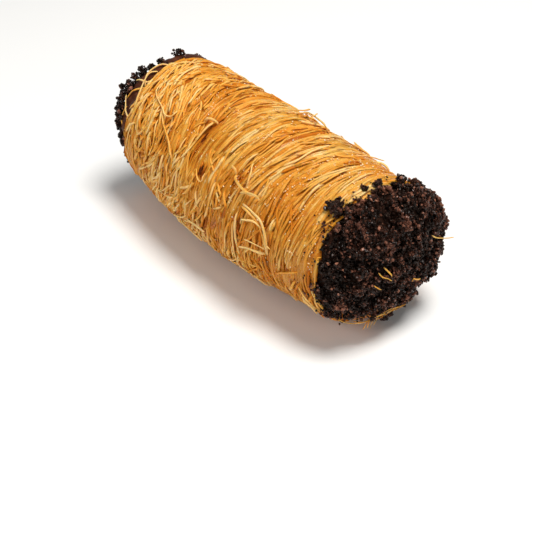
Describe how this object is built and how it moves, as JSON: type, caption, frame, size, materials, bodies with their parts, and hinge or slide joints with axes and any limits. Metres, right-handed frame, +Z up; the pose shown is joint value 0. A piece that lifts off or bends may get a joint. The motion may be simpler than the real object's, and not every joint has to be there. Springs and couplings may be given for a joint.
{
  "type": "baklava roll",
  "caption": "Plump roll of wound, syrup-glazed shredded pastry with both domed ends coated in dark biscuit crumbs, lying on its pressed flat underside.",
  "frame": {"origin": "centre of the flat underside that the roll rests on", "axes": "+Z up, +X along the roll towards its fully crumbed end, -Y the side on which the belly bulges"},
  "size_m": [0.086, 0.0388, 0.0357],
  "materials": {
    "glazed_pastry": "golden baked threads of shredded pastry under a thin amber syrup glaze",
    "dark_crumbs": "dry near-black cocoa biscuit crumbs",
    "chocolate_spread": "soft reddish-brown chocolate spread with crumbs stuck in it"
  },
  "bodies": {
    "root": {"kadaif_roll": "glazed_pastry", "crumb_coat_front": "dark_crumbs", "crumb_coat_back": "chocolate_spread"}
  },
  "joints": []
}
